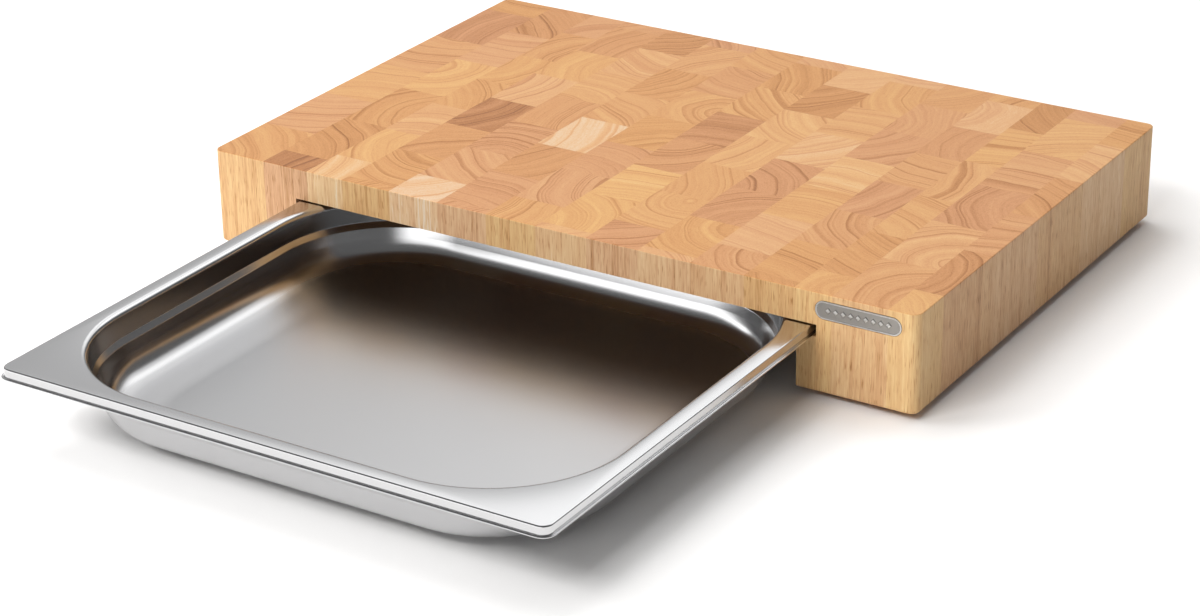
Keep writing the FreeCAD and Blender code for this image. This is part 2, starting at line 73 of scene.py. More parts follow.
def add_node(shader, kind, inputs=None, **settings):
    """Adds a node to a material or world, sets its settings, and fills or links its inputs.

    A node given as an input stands for its first output."""
    tree = shader.node_tree
    node = tree.nodes.new("ShaderNode" + kind)
    for name, value in settings.items():
        setattr(node, name, value)
    for socket, value in (inputs or {}).items():
        if isinstance(value, bpy.types.Node):
            value = value.outputs[0]
        if isinstance(value, bpy.types.NodeSocket):
            tree.links.new(value, node.inputs[socket])
        else:
            node.inputs[socket].default_value = value
    return node


def new_material(name):
    """An empty node material with only its output."""
    material = bpy.data.materials.new(name)
    material.use_nodes = True
    material.node_tree.nodes.clear()
    return material


def new_piece(name, points, faces, material):
    """A smooth-shaded mesh object at the origin, from points in metres."""
    mesh = bpy.data.meshes.new(name)
    mesh.from_pydata(np.asarray(points).reshape(-1, 3).tolist(), [], faces)
    mesh.polygons.foreach_set("use_smooth", np.ones(len(mesh.polygons), bool))
    mesh.materials.append(material)
    piece = bpy.data.objects.new(name, mesh)
    scene.collection.objects.link(piece)
    return piece


paper = new_material("matt_white_paper")
place = add_node(paper, "TexCoord")
# Tooth about 1 mm across, several times as coarse as it is so that it shows
tooth = add_node(paper, "TexNoise", {"Vector": place.outputs["Object"], "Scale": 900.0})
relief = add_node(paper, "Bump", {"Height": tooth, "Strength": 0.05, "Distance": 0.0001})
surface = add_node(paper, "BsdfPrincipled", {
    "Base Color": linear("#F4F3F2"), "Roughness": 0.85, "Specular IOR Level": 0.2,
    "Normal": relief})
add_node(paper, "OutputMaterial", {"Surface": surface})
reach = 9.0  # m: from the board to the paper's edges
floor = new_piece("paper_floor", [(-reach, -reach, 0), (reach, -reach, 0), (reach, reach, 0),
                                  (-reach, reach, 0)], [(0, 1, 2, 3)], paper)

# ------------------------------------------------------------------------------------------
# Light: a large soft box over the rear left, two broad ones at the front, and a dim studio
# with pale panels behind the board and white paper in front, which the steel reflects.
# ------------------------------------------------------------------------------------------
def soft_box(name, place, target, width, height, power):
    """A rectangular light that faces a point and isn't itself seen in reflections."""
    light = bpy.data.lights.new(name, "AREA")
    light.shape = "RECTANGLE"
    light.size, light.size_y = width, height
    light.energy = power
    lamp = bpy.data.objects.new(name, light)
    lamp.location = place
    lamp.rotation_euler = (Vector(target) - Vector(place)).to_track_quat("-Z", "Y").to_euler()
    lamp.visible_glossy = False
    scene.collection.objects.link(lamp)


soft_box("overhead_box", (-1.6, 0.4, 3.0), (0.0, -0.1, 0.0), 2.2, 2.2, 60.0)
soft_box("front_left_fill", (-4.8, -2.7, 4.5), (0.0, -0.1, 0.05), 2.9, 2.6, 176.0)
soft_box("front_fill", (-0.5, -3.1, 3.1), (0.0, -0.1, 0.05), 2.4, 1.4, 118.0)

studio = bpy.data.worlds.new("studio")
studio.use_nodes = True
studio.node_tree.nodes.clear()
scene.world = studio
place = add_node(studio, "TexCoord").outputs["Generated"]
brightness = 0.15  # of the dim walls
# Panels behind the board: the way to each, the cosines of the angle from it at which its glow
# starts and is full, and its strength
for direction, glow, full, strength in (((-0.180, 0.671, 0.719), 0.88, 0.93, 1.0),
                                        ((0.202, 0.703, 0.682), 0.954, 0.978, 1.0),
                                        ((-0.612, 0.612, 0.500), 0.80, 0.98, 0.45)):
    towards = add_node(studio, "VectorMath", {0: place, 1: direction}, operation="DOT_PRODUCT")
    panel = add_node(studio, "MapRange", {"Value": towards.outputs["Value"], "From Min": glow,
                                          "From Max": full}, interpolation_type="SMOOTHSTEP")
    brightness = add_node(studio, "Math", {0: panel, 1: strength, 2: brightness},
                          operation="MULTIPLY_ADD")
# White paper that hangs in front of the table and to its left, up to 16 degrees above the
# horizon, with soft edges
ahead = add_node(studio, "VectorMath", {0: place, 1: (-0.5, -0.866, 0.0)},
                 operation="DOT_PRODUCT")
across = add_node(studio, "MapRange", {"Value": ahead.outputs["Value"], "From Min": 0.45,
                                       "From Max": 0.75}, interpolation_type="SMOOTHSTEP")
height = add_node(studio, "SeparateXYZ", {0: place}).outputs["Z"]
below_top = add_node(studio, "MapRange", {"Value": height, "From Min": 0.22, "From Max": 0.32,
                                          "To Min": 2.3, "To Max": 0.0},
                     interpolation_type="SMOOTHSTEP")
brightness = add_node(studio, "Math", {0: across, 1: below_top, 2: brightness},
                      operation="MULTIPLY_ADD")
walls = add_node(studio, "Background", {"Color": linear("#FFFFFF"), "Strength": brightness})
add_node(studio, "OutputWorld", {"Surface": walls})

# ------------------------------------------------------------------------------------------
# Wood blocks: rubberwood, sawn across glued-up panels so that the end grain faces up, glued
# again, planed, sanded and oiled. The fifteen strips keep their solids; what differs from
# block to block is where its tree's middle lay, how dark it is and how pink it is.
# ------------------------------------------------------------------------------------------
FRONT_EDGE = -162.5  # mm: the y of the board's front
LONG_BLOCK, SHORT_BLOCK = 61.8, 50.7  # mm, front to back
# Each strip from the left: length of its front block and of a whole block, number of blocks
STRIP_LEADS = [(51.7, LONG_BLOCK, 6), (21.3, LONG_BLOCK, 6), (31.0, SHORT_BLOCK, 7)]
STRIP_LEADS += [(7.0, SHORT_BLOCK, 8), (31.0, SHORT_BLOCK, 7)] * 4
STRIP_LEADS += [(7.0, SHORT_BLOCK, 8), (27.5, LONG_BLOCK, 6), (59.7, LONG_BLOCK, 6),
                (30.5, LONG_BLOCK, 6)]

# Four blocks stand out by their tone, named by strip and by block from the front left. The
# others come from mixed planks, so chance gives them their tone, and it gives every block its
# rings and tint. Tone runs from 0, darkest, to 1, palest.
DARK_BLOCKS, DARK_TONE = ((2, 0), (4, 3)), 0.22
PALE_BLOCKS, PALE_TONE = ((5, 0), (6, 3)), 0.86
USUAL_TONE, TONE_SPREAD = 0.55, 0.10
PITH_NEAREST, PITH_FURTHEST = 25, 115  # mm: how far from a block's middle its tree's lay
PITH_REACH = 120.0  # mm: the length that 0.5 stands for where a tree's middle is kept
RING_WIDTH, RING_SWAY, SWAY_LENGTH = 3.6, 11.0, 34  # mm
SEASON_LENGTH, SEASON_RINGS = 17, 4.2  # mm over which growth changes, and most rings it shifts
SPELL_LENGTH = 10  # mm: width of the pale and dark spells of several rings
RING_PALE, RING_DARK = 0.15, 0.88  # share of a ring where it starts to darken and is darkest
# Tone of oiled end grain, from the darkest to the palest
END_GRAIN_TONES = [(0.00, "#85552D"), (0.22, "#A26E3F"), (0.50, "#BC8859"), (0.78, "#CA9E6B"),
                   (1.00, "#CEB48F")]


def block_looks(strip, blocks, chance):
    """Each block's ring middle (two numbers), paleness and pinkness, all from 0 to 1.

    The ring middle lies in any direction from the block's middle. Paleness is spread about
    the usual tone as a bell curve, cut off at two and a half spreads."""
    looks = []
    for block in range(blocks):
        turn = chance.uniform(0, 2 * math.pi)
        away = chance.uniform(PITH_NEAREST, PITH_FURTHEST)
        x, y = away * math.cos(turn), away * math.sin(turn)
        paleness = USUAL_TONE + TONE_SPREAD * np.clip(chance.normal(), -2.5, 2.5)
        if (strip, block) in DARK_BLOCKS:
            paleness = DARK_TONE
        if (strip, block) in PALE_BLOCKS:
            paleness = PALE_TONE
        looks.append((0.5 + x / (2 * PITH_REACH), 0.5 + y / (2 * PITH_REACH), float(paleness),
                      chance.uniform(0.0, 1.0)))
    return looks


def oiled_rubberwood(strip, left, right, lead, length, blocks, chance):
    """Oiled rubberwood, cut into blocks along one strip.

    A block's rings are circles about its tree's middle, and run straight down through the
    wood, so they show as arcs on the cutting face and as upright bands on the sides. Pores
    are fine upright lines, dots on the cutting face. All lengths are in mm."""
    wood = new_material(f"oiled_rubberwood_{strip:02d}")
    place = add_node(wood, "TexCoord")
    mm = add_node(wood, "VectorMath", {0: place.outputs["Object"], "Scale": 1000.0},
                  operation="SCALE")
    axes = add_node(wood, "SeparateXYZ", {0: mm})

    # Which block of the strip this is, and where in the block. The last sum is a place of
    # the block's own, far from the others', where it reads its noise.
    along = add_node(wood, "Math", {
        0: axes.outputs["Y"], 1: 1 / length, 2: (-FRONT_EDGE - lead) / length + 1},
        operation="MULTIPLY_ADD")
    whole = add_node(wood, "Math", {0: along}, operation="FLOOR")
    not_below = add_node(wood, "Math", {0: whole, 1: 0.0}, operation="MAXIMUM")
    block = add_node(wood, "Math", {0: not_below, 1: blocks - 1.0}, operation="MINIMUM")
    share = add_node(wood, "Math", {0: block, 1: 1 / blocks, 2: 0.5 / blocks},
                     operation="MULTIPLY_ADD")
    own = add_node(wood, "ValToRGB", {0: share})
    own.color_ramp.interpolation = "CONSTANT"
    own.color_ramp.elements.remove(own.color_ramp.elements[1])
    for number, look in enumerate(block_looks(strip, blocks, chance)):
        stop = own.color_ramp.elements.new(number / blocks) if number else \
            own.color_ramp.elements[0]
        stop.position, stop.color = number / blocks, look
    looks = add_node(wood, "SeparateColor", {0: own})
    across = add_node(wood, "Math", {0: axes.outputs["X"], 1: (left + right) / 2},
                      operation="SUBTRACT")
    from_start = add_node(wood, "Math", {0: along, 1: block}, operation="SUBTRACT")
    from_middle = add_node(wood, "Math", {0: from_start, 1: length, 2: -length / 2},
                           operation="MULTIPLY_ADD")
    upward = add_node(wood, "Math", {0: axes.outputs["Z"], 1: 0.12}, operation="MULTIPLY")
    in_block = add_node(wood, "CombineXYZ", {"X": across, "Y": from_middle, "Z": upward})
    own_place = add_node(wood, "VectorMath", {0: own, 1: (910.0, 730.0, 570.0), 2: in_block},
                         operation="MULTIPLY_ADD")

    # Growth rings: distance from the tree's middle, swayed a few mm and unevenly spaced.
    # Each ring darkens slowly outwards and ends at once; some are hardly seen.
    pith = add_node(wood, "VectorMath", {
        0: own, 1: (2 * PITH_REACH, 2 * PITH_REACH, 0.0), 2: (-PITH_REACH, -PITH_REACH, 0.0)},
        operation="MULTIPLY_ADD")
    from_pith = add_node(wood, "VectorMath", {0: in_block, 1: pith}, operation="SUBTRACT")
    sway = add_node(wood, "TexNoise", {"Vector": own_place, "Scale": 1 / SWAY_LENGTH,
                                       "Detail": 2.0, "Roughness": 0.3})
    swayed = add_node(wood, "VectorMath", {
        0: sway.outputs["Color"], 1: (RING_SWAY, RING_SWAY, 0.0), 2: from_pith},
        operation="MULTIPLY_ADD")
    flat = add_node(wood, "VectorMath", {0: swayed, 1: (1.0, 1.0, 0.0)}, operation="MULTIPLY")
    radius = add_node(wood, "VectorMath", {0: flat}, operation="LENGTH").outputs["Value"]
    bearing = add_node(wood, "VectorMath", {0: flat}, operation="NORMALIZE")
    tree = add_node(wood, "Math", {0: looks.outputs["Red"], 1: 831.0}, operation="MULTIPLY")
    season = add_node(wood, "Math", {0: radius, 1: 1 / SEASON_LENGTH, 2: tree},
                      operation="MULTIPLY_ADD")
    seasons = add_node(wood, "TexNoise", {"W": season, "Scale": 1.0, "Detail": 1.0},
                       noise_dimensions="1D")
    even_years = add_node(wood, "Math", {0: radius, 1: 1 / RING_WIDTH}, operation="MULTIPLY")
    years = add_node(wood, "Math", {0: seasons, 1: SEASON_RINGS, 2: even_years},
                     operation="MULTIPLY_ADD")
    year = add_node(wood, "Math", {0: years}, operation="FRACT")
    which = add_node(wood, "Math", {0: years}, operation="FLOOR")
    of_tree = add_node(wood, "Math", {0: which, 1: tree}, operation="ADD")
    vigour = add_node(wood, "TexWhiteNoise", {"W": of_tree}, noise_dimensions="1D")
    late = add_node(wood, "MapRange", {
        "Value": year, "From Min": RING_PALE, "From Max": RING_DARK},
        interpolation_type="SMOOTHSTEP")
    close = add_node(wood, "MapRange", {
        "Value": year, "From Min": RING_DARK, "From Max": 1.0, "To Min": 1.0, "To Max": 0.0},
        interpolation_type="SMOOTHSTEP")
    line = add_node(wood, "Math", {0: late, 1: close}, operation="MULTIPLY")
    strong = add_node(wood, "Math", {0: vigour, 1: 2.4}, operation="POWER")
    ring = add_node(wood, "Math", {0: line, 1: strong}, operation="MULTIPLY")
    spell = add_node(wood, "Math", {0: radius, 1: 1 / SPELL_LENGTH, 2: tree},
                     operation="MULTIPLY_ADD")
    spells = add_node(wood, "TexNoise", {"W": spell, "Scale": 1.0, "Detail": 3.0,
                                         "Roughness": 0.6}, noise_dimensions="1D")

    # Wisps about 1 mm wide that follow the rings for a centimetre or two
    ring_depth = add_node(wood, "CombineXYZ", {"Z": radius})
    wisp_place = add_node(wood, "VectorMath", {0: bearing, 1: (5.0, 5.0, 0.0), 2: ring_depth},
                          operation="MULTIPLY_ADD")
    wisps = add_node(wood, "TexNoise", {"Vector": wisp_place, "Scale": 1.0, "Detail": 2.0,
                                        "Roughness": 0.6})

    # Fibres and pores run up through the wood: 1.0 and 0.6 mm wide, drawn about twice as
    # coarse as they are so that they show
    fibre_place = add_node(wood, "VectorMath", {0: mm, 1: (1.0, 1.0, 0.05)},
                           operation="MULTIPLY")
    fibre = add_node(wood, "TexNoise", {"Vector": fibre_place, "Scale": 1.0, "Detail": 2.0,
                                        "Roughness": 0.6})
    pore_place = add_node(wood, "VectorMath", {0: mm, 1: (1.6, 1.6, 0.10)}, operation="MULTIPLY")
    pores = add_node(wood, "TexNoise", {"Vector": pore_place, "Scale": 1.0, "Detail": 1.0})
    pore = add_node(wood, "MapRange", {"Value": pores, "From Min": 0.58, "From Max": 0.70},
                    interpolation_type="SMOOTHSTEP")

    # Side grain or end grain, from the face's slope
    facing = add_node(wood, "NewGeometry")
    normal = add_node(wood, "SeparateXYZ", {0: facing.outputs["Normal"]})
    level = add_node(wood, "Math", {0: normal.outputs["Z"]}, operation="ABSOLUTE")
    side_grain = add_node(wood, "MapRange", {"Value": level, "From Min": 0.35, "From Max": 0.75,
                                             "To Min": 1.0, "To Max": 0.0})

    # Paleness, from the block, its spells, rings, wisps, fibres and pores: how strongly each
    # shows on end grain and on side grain, where the rings fade and the fibres stand out, and
    # its usual value, which changes nothing
    half_side = add_node(wood, "Math", {0: side_grain, 1: 0.5}, operation="MULTIPLY")
    paleness = add_node(wood, "Mix", {0: half_side, 2: looks.outputs["Blue"], 3: 0.56})
    for part, on_end, on_side, usual in (
            (spells, 0.36, 0.26, 0.5), (ring, -0.34, -0.20, 0.12), (wisps, 0.26, 0.10, 0.5),
            (fibre, 0.26, 0.80, 0.5), (pore, -0.16, -0.34, 0.1)):
        strength = add_node(wood, "MapRange", {"Value": side_grain, "To Min": on_end,
                                               "To Max": on_side})
        off_usual = add_node(wood, "Math", {0: part, 1: usual}, operation="SUBTRACT")
        paleness = add_node(wood, "Math", {0: off_usual, 1: strength, 2: paleness},
                            operation="MULTIPLY_ADD")
    tone = add_node(wood, "ValToRGB", {0: paleness})
    for number, (position, colour) in enumerate(END_GRAIN_TONES):
        stop = tone.color_ramp.elements.new(position) if number > 1 else \
            tone.color_ramp.elements[number]
        stop.position, stop.color = position, linear(colour)
    # From yellowish to pinkish wood
    tint = add_node(wood, "Mix", {0: own.outputs["Alpha"], 6: (1.02, 1.01, 0.88, 1.0),
                                  7: (0.99, 0.97, 1.10, 1.0)}, data_type="RGBA")
    tinted = add_node(wood, "Mix", {0: 1.0, 6: tone, 7: tint.outputs[2]}, data_type="RGBA",
                      blend_type="MULTIPLY")

    # Side grain takes up less oil than end grain, so it stays paler
    colour = add_node(wood, "Mix", {0: side_grain, 6: tinted.outputs[2],
                                    7: (1.16, 1.40, 1.70, 1.0)}, data_type="RGBA",
                      blend_type="MULTIPLY")
    finish = add_node(wood, "Bump", {"Height": pore, "Strength": 0.25, "Distance": -0.0002})
    surface = add_node(wood, "BsdfPrincipled", {
        "Base Color": colour.outputs[2], "Roughness": 0.5, "IOR": 1.5, "Specular IOR Level": 0.3,
        "Normal": finish})
    add_node(wood, "OutputMaterial", {"Surface": surface})
    return wood


chance = np.random.default_rng(7)
for number, (lead, length, blocks) in enumerate(STRIP_LEADS, start=1):
    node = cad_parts[f"wood_strip_{number:02d}"]
    low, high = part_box(node.name)
    node.material_slots[0].material = oiled_rubberwood(
        number, low[0] * 1000, high[0] * 1000, lead, length, blocks, chance)

# ------------------------------------------------------------------------------------------
# Tray: one sheet of 0.8 mm stainless steel, deep drawn in a press. Its flange is turned down
# and out again to a folded lip, which runs on the wood, and its bowl has a stacking shoulder.
# The drawing die leaves walls and flange nearly mirror bright, and the floor satin.
# ------------------------------------------------------------------------------------------
# The sheet's section, from the floor's top side round the lip to its underside: inset from the
# lip's edge, height and bend radius in mm. The floor's edge rises slightly towards the walls.
SHEET_SECTION = [
    (74.0, 5.1, 0), (50.0, 5.1, 120.0), (22.3, 7.4, 16.0), (18.0, 20.6, 10.0), (16.3, 26.6, 2.4),
    (13.9, 30.0, 1.6), (12.8, 44.3, 3.6), (1.6, 44.3, 1.0), (1.6, 38.8, 0.2), (0.8, 39.1, 0.9),
    (0.0, 38.9, 0.45), (0.0, 38.1, 0.35), (2.4, 38.1, 0.5), (2.4, 43.5, 0.3), (12.0, 43.5, 2.8),
    (13.12, 29.73, 2.4), (15.56, 26.26, 1.6), (17.24, 20.4, 9.2), (21.6, 6.6, 16.8),
    (50.0, 4.3, 120.0), (74.0, 4.3, 0)]
# Corner radius of the tray's outline at each inset, in mm
OUTLINE_CORNERS = [(0.0, 8.0), (1.6, 6.4), (4.2, 3.8), (9.5, 80.0), (74.0, 15.5)]
SATIN_UP_TO, BRIGHT_FROM = 0.0067, 0.0135  # m above the table, in the bend round the floor
FLANGE_FROM, FLANGE_TOP = 0.0425, 0.0442  # m above the table


def middle_and_half(low, high):
    """A box's middle and half its size in mm, from its corners in metres."""
    low, high = np.array(low), np.array(high)
    return (low + high) * 500, (high - low) * 500


def bent_line(corners, steps):
    """Straight runs joined by arcs.

    Each arc starts radius x tan(turn / 2) before its corner, and turns about a centre that
    lies one radius to the side, so that both runs touch it."""
    points, radius = np.array(corners)[:, :2], np.array(corners)[1:-1, 2]
    runs = np.diff(points, axis=0)
    runs /= np.linalg.norm(runs, axis=1)[:, None]
    before, after = runs[:-1], runs[1:]
    turn = np.arctan2(before[:, 0] * after[:, 1] - before[:, 1] * after[:, 0],
                      (before * after).sum(axis=1))
    start = points[1:-1] - before * (radius * np.tan(np.abs(turn) / 2))[:, None]
    to_centre = np.stack([-before[:, 1], before[:, 0]], axis=1) * (np.sign(turn) * radius)[:, None]
    angle = turn[:, None] * np.linspace(0, 1, steps)
    cosine, sine = np.cos(angle)[..., None], np.sin(angle)[..., None]
    away = -to_centre[:, None, :]
    sideways = np.stack([-away[..., 1], away[..., 0]], axis=-1)
    arcs = (start + to_centre)[:, None, :] + away * cosine + sideways * sine
    return np.concatenate([points[:1], arcs.reshape(-1, 2), points[-1:]])


def rounded_outlines(half_x, half_y, inset, radius, arc_steps, run_steps):
    """A rounded rectangle for each inset: four quarter circles, and straight runs between."""
    quarter = np.linspace(0, math.pi / 2, arc_steps)
    angle = quarter + np.arange(4)[:, None] * math.pi / 2
    signs = np.array([(1, 1), (-1, 1), (-1, -1), (1, -1)])
    centre = np.stack([half_x - inset - radius, half_y - inset - radius], axis=-1)
    circle = np.stack([np.cos(angle), np.sin(angle)], axis=-1)
    arcs = signs[:, None] * centre[:, None, None] + radius[:, None, None, None] * circle
    share = np.linspace(0, 1, run_steps + 2)[1:-1, None]
    starts, ends = arcs[:, :, -1:], np.roll(arcs, -1, axis=1)[:, :, :1]
    runs = starts * (1 - share) + ends * share
    return np.concatenate([arcs, runs], axis=2).reshape(len(inset), -1, 2)


def ring_faces(rings, around):
    """Quads between neighbouring rings of points, each ring closed on itself."""
    ring, step = np.meshgrid(np.arange(rings - 1), np.arange(around), indexing="ij")
    after = (step + 1) % around
    low, high = ring * around, (ring + 1) * around
    return np.stack([low + step, low + after, high + after, high + step], axis=-1).reshape(-1, 4)


def capped(rings):
    """Rings of points joined to one closed shell, with a flat face over each end."""
    count, around = rings.shape[:2]
    faces = ring_faces(count, around).tolist()
    faces += [list(range(around))[::-1], list(range((count - 1) * around, count * around))]
    return rings.reshape(-1, 3), faces


def pressed_tray(section, low, high):
    """The section carried round the tray's outline, both its ends closed by the flat floor."""
    middle, half = middle_and_half(low[:2], high[:2])
    section = section[::-1]
    radius = np.interp(section[:, 0], *np.array(OUTLINE_CORNERS).T)
    outlines = rounded_outlines(*half, section[:, 0], radius, arc_steps=19, run_steps=9) + middle
    heights = np.repeat(section[:, None, 1:], outlines.shape[1], axis=1)
    points, faces = capped(np.concatenate([outlines, heights], axis=2))
    return points / 1000, faces


def drawn_stainless_steel():
    """Deep-drawn stainless steel: bright walls and flange, and a satin floor."""
    steel = new_material("drawn_stainless_steel")
    place = add_node(steel, "TexCoord").outputs["Object"]
    height = add_node(steel, "SeparateXYZ", {0: place}).outputs["Z"]
    on_floor = add_node(steel, "MapRange", {
        "Value": height, "From Min": SATIN_UP_TO, "From Max": BRIGHT_FROM,
        "To Min": 1.0, "To Max": 0.0}, interpolation_type="SMOOTHSTEP")
    satin = add_node(steel, "Math", {0: on_floor, 1: 0.08, 2: 0.19}, operation="MULTIPLY_ADD")
    on_flange = add_node(steel, "MapRange", {
        "Value": height, "From Min": FLANGE_FROM, "From Max": FLANGE_TOP, "To Max": -0.02},
        interpolation_type="SMOOTHSTEP")
    drawn = add_node(steel, "Math", {0: satin, 1: on_flange}, operation="ADD")
    rubbed = add_node(steel, "TexNoise", {"Vector": place, "Scale": 30.0, "Detail": 3.0})
    roughness = add_node(steel, "Math", {0: rubbed, 1: 0.03, 2: drawn}, operation="MULTIPLY_ADD")
    # Grit marks 1 mm apart, ten times as coarse as they are so that they show
    grit_place = add_node(steel, "VectorMath", {0: place, 1: (1000.0, 80.0, 1000.0)},
                          operation="MULTIPLY")
    grit = add_node(steel, "TexNoise", {"Vector": grit_place, "Scale": 1.0, "Detail": 2.0})
    depth = add_node(steel, "Math", {0: on_floor, 1: 0.02}, operation="MULTIPLY")
    finish = add_node(steel, "Bump", {"Height": grit, "Strength": depth, "Distance": 0.0004})
    colour = add_node(steel, "Mix", {0: on_floor, 6: linear("#CACACB"), 7: linear("#BFBFC0")},
                      data_type="RGBA")
    surface = add_node(steel, "BsdfPrincipled", {
        "Base Color": colour.outputs[2], "Metallic": 1.0, "Roughness": roughness, "Normal": finish})
    add_node(steel, "OutputMaterial", {"Surface": surface})
    return steel


tray_steel = drawn_stainless_steel()
tray_points, tray_faces = pressed_tray(bent_line(SHEET_SECTION, steps=8), *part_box("tray"))
tray = new_piece("pressed_tray", tray_points, tray_faces, tray_steel)
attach(tray, "tray")
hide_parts("tray")

# ------------------------------------------------------------------------------------------
# Badge: a zinc plate, die cast and nickel plated, grey and dull in its recess. Its border and
# its nine plain studs are polished bright, and two spikes behind it are driven into the wood.
# ------------------------------------------------------------------------------------------
# Plate from back to front: inset from its edge, height above the recess in the wood, bend radius
PLATE_SECTION = [(1.2, 0.0, 0), (0.0, 0.0, 0.2), (0.0, 1.85, 0.28), (0.9, 1.85, 0.22),
                 (1.0, 1.40, 0.16), (1.9, 1.40, 0)]
STUD_SECTION = [(-0.2, 1.30, 0), (0.9, 1.85, 0.22), (1.3, 1.85, 0)]
SPIKE_SECTION = [(0.12, -6.0, 0), (0.95, -4.6, 0.8), (0.95, 0.3, 0)]  # radius first
STUD_COUNT, STUD_PITCH, STUD_SIDE, STUD_CORNER = 9, 4.6, 3.0, 0.12
SPIKE_SPACING = 26.0
END_FLAT = 0.1  # half the straight run left at each end of the oval
BADGE_BACK, BADGE_FIELD, BADGE_FACE = -161.0, -162.4, -162.85  # y of its back, recess and face


def joined(shells):
    """Several shells as the points and faces of one mesh."""
    starts = np.cumsum([0] + [len(points) for points, faces in shells])
    faces = [[corner + start for corner in face]
             for start, (points, faces) in zip(starts.tolist(), shells) for face in faces]
    return np.concatenate([points for points, faces in shells]), faces


def on_front(outlines, height, x, z):
    """Outlines drawn on the board's front about a point, each at its height over the recess."""
    depth = np.repeat(BADGE_BACK - height[:, None, None], outlines.shape[1], axis=1)
    return np.concatenate([outlines[..., :1] + x, depth, outlines[..., 1:] + z], axis=2)


def cast_badge(low, high):
    """The oval plate, its studs standing on their corners, and its spikes."""
    (x, _, z), (half_length, _, half_width) = middle_and_half(low, high)
    plate = bent_line(PLATE_SECTION, steps=6)
    ends = half_width - plate[:, 0] - END_FLAT
    oval = rounded_outlines(half_length, half_width, plate[:, 0], ends, arc_steps=15, run_steps=7)
    shells = [on_front(oval, plate[:, 1], x, z)]
    stud = bent_line(STUD_SECTION, steps=5)
    square = rounded_outlines(STUD_SIDE / 2, STUD_SIDE / 2, stud[:, 0],
                              np.full(len(stud), STUD_CORNER), arc_steps=4, run_steps=0)
    on_corner = square @ np.array([(1, 1), (-1, 1)]) / math.sqrt(2)
    for place in (np.arange(STUD_COUNT) - (STUD_COUNT - 1) / 2) * STUD_PITCH:
        shells.append(on_front(on_corner, stud[:, 1], x + place, z))
    spike = bent_line(SPIKE_SECTION, steps=4)
    turn = np.arange(16) * math.pi / 8  # sixteen sides
    circle = spike[:, :1, None] * np.stack([np.cos(turn), np.sin(turn)], axis=1)
    for place in (-SPIKE_SPACING / 2, SPIKE_SPACING / 2):
        shells.append(on_front(circle, spike[:, 1], x + place, z))
    points, faces = joined([capped(rings) for rings in shells])
    return points / 1000, faces


def cast_nickel_plated_zinc():
    """Nickel-plated zinc casting: bright where it stands out, greyer and rougher in its recess."""
    nickel = new_material("cast_nickel_plated_zinc")
    place = add_node(nickel, "TexCoord").outputs["Object"]
    depth = add_node(nickel, "SeparateXYZ", {0: place}).outputs["Y"]
    # Dimples 0.4 mm wide
    dimple = add_node(nickel, "TexNoise", {"Vector": place, "Scale": 2500.0, "Detail": 2.0})
    worn = add_node(nickel, "Math", {0: dimple, 1: -0.00016, 2: depth}, operation="MULTIPLY_ADD")
    raised = add_node(nickel, "MapRange", {
        "Value": worn, "From Min": BADGE_FIELD / 1000 - 0.00012,
        "From Max": BADGE_FACE / 1000 - 0.00002}, interpolation_type="SMOOTHSTEP")
    colour = add_node(nickel, "Mix", {0: raised, 6: linear("#BDB8B2"), 7: linear("#F0EDE9")},
                      data_type="RGBA")
    roughness = add_node(nickel, "MapRange", {"Value": raised, "To Min": 0.60, "To Max": 0.45})
    finish = add_node(nickel, "Bump", {"Height": dimple, "Strength": 0.25, "Distance": 0.00004})
    surface = add_node(nickel, "BsdfPrincipled", {
        "Base Color": colour.outputs[2], "Metallic": 1.0, "Roughness": roughness, "Normal": finish})
    add_node(nickel, "OutputMaterial", {"Surface": surface})
    return nickel


badge_points, badge_faces = cast_badge(*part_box("badge"))
badge = new_piece("cast_badge", badge_points, badge_faces, cast_nickel_plated_zinc())
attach(badge, "board")
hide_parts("badge")

# ------------------------------------------------------------------------------------------
# Feet: four black rubber discs, moulded, with a pocket for the screw's head and two grooves in
# the sole for grip. Each is held by one screw through its web.
# ------------------------------------------------------------------------------------------
FOOT_CORNERS = ("front_left", "front_right", "rear_left", "rear_right")
FOOT_SIDES = 64
# Round the foot's section, from the sole up the side, down the hole and the pocket, and back:
# radius, height and bend radius in mm
FOOT_SECTION = [
    (9.2, 0.0, 0), (10.0, 0.0, 0.7), (11.0, 4.5, 0.3), (1.78, 4.5, 0.1), (1.78, 2.9, 0.15),
    (3.9, 2.9, 0.25), (3.9, 0.0, 0.4), (5.2, 0.0, 0.12), (5.4, 0.45, 0.15), (6.0, 0.45, 0.15),
    (6.2, 0.0, 0.12), (7.2, 0.0, 0.12), (7.4, 0.45, 0.15), (8.0, 0.45, 0.15), (8.2, 0.0, 0.12),
    (9.2, 0.0, 0)]


def moulded_foot(low, high):
    """The section turned about the foot's axis, closed on itself both ways."""
    (x, y, _), _ = middle_and_half(low, high)
    section = bent_line(FOOT_SECTION, steps=5)[:-1]
    turn = np.arange(FOOT_SIDES) * math.pi / (FOOT_SIDES / 2)
    circle = np.stack([np.cos(turn), np.sin(turn), np.zeros(FOOT_SIDES)], axis=1)
    rings = section[:, :1, None] * circle + section[:, 1:, None] * [0, 0, 1]
    points = rings.reshape(-1, 3) + [x, y, 0]
    faces = ring_faces(len(section) + 1, FOOT_SIDES) % len(points)
    return points / 1000, faces.tolist()


